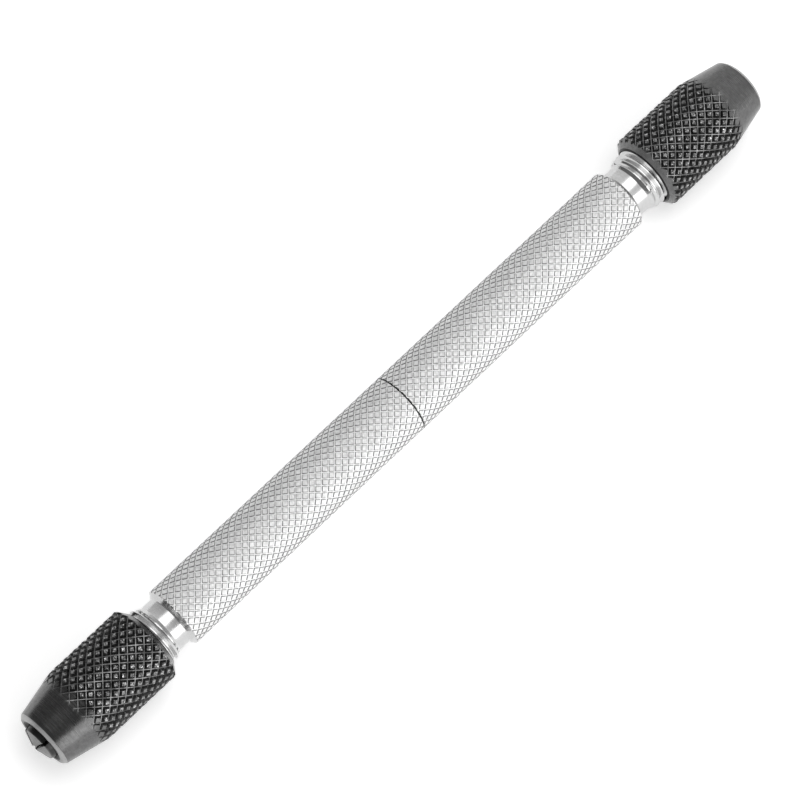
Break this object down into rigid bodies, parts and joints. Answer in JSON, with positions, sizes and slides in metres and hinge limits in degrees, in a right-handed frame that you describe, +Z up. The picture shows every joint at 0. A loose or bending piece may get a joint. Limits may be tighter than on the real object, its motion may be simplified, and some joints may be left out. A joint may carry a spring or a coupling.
{
  "type": "double-ended pin vise",
  "caption": "Slim knurled aluminium handle in two screwed halves, with a black knurled collet chuck at each end that grips small drills and blades.",
  "frame": {"origin": "centre of the tool's box, on its turning axis close to the seam of the handle", "axes": "+X along the tool's axis from the front chuck to the rear chuck, +Z up as it lies on a bench"},
  "size_m": [0.103, 0.0088, 0.0088],
  "materials": {
    "handle_aluminium": "bright fine diamond knurl, turned neck",
    "black_oxide_steel": "black oxide, coarse diamond knurl, turned satin nose",
    "collet_steel": "hardened grey, ground",
    "stud_steel": "plain bright steel"
  },
  "bodies": {
    "front_handle": {"front_handle_half": "handle_aluminium"},
    "stud": {"joining_stud": "stud_steel"},
    "rear_handle": {"rear_handle_half": "handle_aluminium"},
    "front_collet": {"front_collet_sleeve": "collet_steel"},
    "front_nut": {"front_chuck_nut": "black_oxide_steel"},
    "front_outer_jaw_1": {"front_outer_jaw_1": "collet_steel"},
    "front_outer_jaw_2": {"front_outer_jaw_2": "collet_steel"},
    "front_outer_jaw_3": {"front_outer_jaw_3": "collet_steel"},
    "front_outer_jaw_4": {"front_outer_jaw_4": "collet_steel"},
    "front_inner_jaw_1": {"front_inner_jaw_1": "collet_steel"},
    "front_inner_jaw_2": {"front_inner_jaw_2": "collet_steel"},
    "front_inner_jaw_3": {"front_inner_jaw_3": "collet_steel"},
    "front_inner_jaw_4": {"front_inner_jaw_4": "collet_steel"},
    "rear_collet": {"rear_collet_sleeve": "collet_steel"},
    "rear_nut": {"rear_chuck_nut": "black_oxide_steel"},
    "rear_outer_jaw_1": {"rear_outer_jaw_1": "collet_steel"},
    "rear_outer_jaw_2": {"rear_outer_jaw_2": "collet_steel"},
    "rear_outer_jaw_3": {"rear_outer_jaw_3": "collet_steel"},
    "rear_outer_jaw_4": {"rear_outer_jaw_4": "collet_steel"},
    "rear_inner_jaw_1": {"rear_inner_jaw_1": "collet_steel"},
    "rear_inner_jaw_2": {"rear_inner_jaw_2": "collet_steel"},
    "rear_inner_jaw_3": {"rear_inner_jaw_3": "collet_steel"},
    "rear_inner_jaw_4": {"rear_inner_jaw_4": "collet_steel"}
  },
  "joints": [
    {"name": "stud_travel", "type": "slide", "parent": "front_handle", "child": "stud", "axis": [1, 0, 0], "range_m": [0, 0.007]},
    {"name": "rear_half_turn", "type": "hinge", "parent": "stud", "child": "rear_handle", "pos_m": [-0.00005, 0, 0], "axis": [1, 0, 0], "range_deg": [0, 3600]},
    {"name": "front_collet_travel", "type": "slide", "parent": "front_handle", "child": "front_collet", "axis": [-1, 0, 0], "range_m": [-0.0014, 0.0007]},
    {"name": "front_nut_turn", "type": "hinge", "parent": "front_collet", "child": "front_nut", "pos_m": [-0.05055, 0, 0], "axis": [-1, 0, 0], "range_deg": [-720.5, 360.5]},
    {"name": "front_outer_jaw_1_flex", "type": "hinge", "parent": "front_collet", "child": "front_outer_jaw_1", "pos_m": [-0.046, -0.0017, 0.00052], "axis": [0, 0.2924, 0.9563], "range_deg": [-1.78, 0.9]},
    {"name": "front_outer_jaw_2_flex", "type": "hinge", "parent": "front_collet", "child": "front_outer_jaw_2", "pos_m": [-0.046, 0.00052, 0.0017], "axis": [0, 0.9563, -0.2924], "range_deg": [-1.78, 0.9]},
    {"name": "front_outer_jaw_3_flex", "type": "hinge", "parent": "front_collet", "child": "front_outer_jaw_3", "pos_m": [-0.046, 0.0017, -0.00052], "axis": [0, -0.2924, -0.9563], "range_deg": [-1.78, 0.9]},
    {"name": "front_outer_jaw_4_flex", "type": "hinge", "parent": "front_collet", "child": "front_outer_jaw_4", "pos_m": [-0.046, -0.00052, -0.0017], "axis": [0, -0.9563, 0.2924], "range_deg": [-1.78, 0.9]},
    {"name": "front_inner_jaw_1_flex", "type": "hinge", "parent": "front_collet", "child": "front_inner_jaw_1", "pos_m": [-0.0435, 0.0017, 0.00052], "axis": [0, -0.2924, 0.9563], "range_deg": [-1.78, 0.9]},
    {"name": "front_inner_jaw_2_flex", "type": "hinge", "parent": "front_collet", "child": "front_inner_jaw_2", "pos_m": [-0.0435, -0.00052, 0.0017], "axis": [0, -0.9563, -0.2924], "range_deg": [-1.78, 0.9]},
    {"name": "front_inner_jaw_3_flex", "type": "hinge", "parent": "front_collet", "child": "front_inner_jaw_3", "pos_m": [-0.0435, -0.0017, -0.00052], "axis": [0, 0.2924, -0.9563], "range_deg": [-1.78, 0.9]},
    {"name": "front_inner_jaw_4_flex", "type": "hinge", "parent": "front_collet", "child": "front_inner_jaw_4", "pos_m": [-0.0435, 0.00052, -0.0017], "axis": [0, 0.9563, 0.2924], "range_deg": [-1.78, 0.9]},
    {"name": "rear_collet_travel", "type": "slide", "parent": "rear_handle", "child": "rear_collet", "axis": [1, 0, 0], "range_m": [-0.0014, 0.0007]},
    {"name": "rear_nut_turn", "type": "hinge", "parent": "rear_collet", "child": "rear_nut", "pos_m": [0.05105, 0, 0], "axis": [1, 0, 0], "range_deg": [-720.5, 360.5]},
    {"name": "rear_outer_jaw_1_flex", "type": "hinge", "parent": "rear_collet", "child": "rear_outer_jaw_1", "pos_m": [0.046, 0.00102, 0.00145], "axis": [0, -0.8192, 0.5736], "range_deg": [-1.78, 0.9]},
    {"name": "rear_outer_jaw_2_flex", "type": "hinge", "parent": "rear_collet", "child": "rear_outer_jaw_2", "pos_m": [0.046, -0.00145, 0.00102], "axis": [0, -0.5736, -0.8192], "range_deg": [-1.78, 0.9]},
    {"name": "rear_outer_jaw_3_flex", "type": "hinge", "parent": "rear_collet", "child": "rear_outer_jaw_3", "pos_m": [0.046, -0.00102, -0.00145], "axis": [0, 0.8192, -0.5736], "range_deg": [-1.78, 0.9]},
    {"name": "rear_outer_jaw_4_flex", "type": "hinge", "parent": "rear_collet", "child": "rear_outer_jaw_4", "pos_m": [0.046, 0.00145, -0.00102], "axis": [0, 0.5736, 0.8192], "range_deg": [-1.78, 0.9]},
    {"name": "rear_inner_jaw_1_flex", "type": "hinge", "parent": "rear_collet", "child": "rear_inner_jaw_1", "pos_m": [0.0435, -0.00102, 0.00145], "axis": [0, 0.8192, 0.5736], "range_deg": [-1.78, 0.9]},
    {"name": "rear_inner_jaw_2_flex", "type": "hinge", "parent": "rear_collet", "child": "rear_inner_jaw_2", "pos_m": [0.0435, 0.00145, 0.00102], "axis": [0, 0.5736, -0.8192], "range_deg": [-1.78, 0.9]},
    {"name": "rear_inner_jaw_3_flex", "type": "hinge", "parent": "rear_collet", "child": "rear_inner_jaw_3", "pos_m": [0.0435, 0.00102, -0.00145], "axis": [0, -0.8192, -0.5736], "range_deg": [-1.78, 0.9]},
    {"name": "rear_inner_jaw_4_flex", "type": "hinge", "parent": "rear_collet", "child": "rear_inner_jaw_4", "pos_m": [0.0435, -0.00145, -0.00102], "axis": [0, -0.5736, 0.8192], "range_deg": [-1.78, 0.9]}
  ],
  "couplings": [
    {"joint": "rear_half_turn", "follows": "stud_travel", "rad_per_m": 8976},
    {"joint": "front_nut_turn", "follows": "front_collet_travel", "rad_per_m": 8976},
    {"joint": "front_outer_jaw_1_flex", "follows": "front_collet_travel", "rad_per_m": 22.081},
    {"joint": "front_outer_jaw_2_flex", "follows": "front_collet_travel", "rad_per_m": 22.081},
    {"joint": "front_outer_jaw_3_flex", "follows": "front_collet_travel", "rad_per_m": 22.081},
    {"joint": "front_outer_jaw_4_flex", "follows": "front_collet_travel", "rad_per_m": 22.081},
    {"joint": "front_inner_jaw_1_flex", "follows": "front_collet_travel", "rad_per_m": 22.081},
    {"joint": "front_inner_jaw_2_flex", "follows": "front_collet_travel", "rad_per_m": 22.081},
    {"joint": "front_inner_jaw_3_flex", "follows": "front_collet_travel", "rad_per_m": 22.081},
    {"joint": "front_inner_jaw_4_flex", "follows": "front_collet_travel", "rad_per_m": 22.081},
    {"joint": "rear_nut_turn", "follows": "rear_collet_travel", "rad_per_m": 8976},
    {"joint": "rear_outer_jaw_1_flex", "follows": "rear_collet_travel", "rad_per_m": 22.081},
    {"joint": "rear_outer_jaw_2_flex", "follows": "rear_collet_travel", "rad_per_m": 22.081},
    {"joint": "rear_outer_jaw_3_flex", "follows": "rear_collet_travel", "rad_per_m": 22.081},
    {"joint": "rear_outer_jaw_4_flex", "follows": "rear_collet_travel", "rad_per_m": 22.081},
    {"joint": "rear_inner_jaw_1_flex", "follows": "rear_collet_travel", "rad_per_m": 22.081},
    {"joint": "rear_inner_jaw_2_flex", "follows": "rear_collet_travel", "rad_per_m": 22.081},
    {"joint": "rear_inner_jaw_3_flex", "follows": "rear_collet_travel", "rad_per_m": 22.081},
    {"joint": "rear_inner_jaw_4_flex", "follows": "rear_collet_travel", "rad_per_m": 22.081}
  ]
}
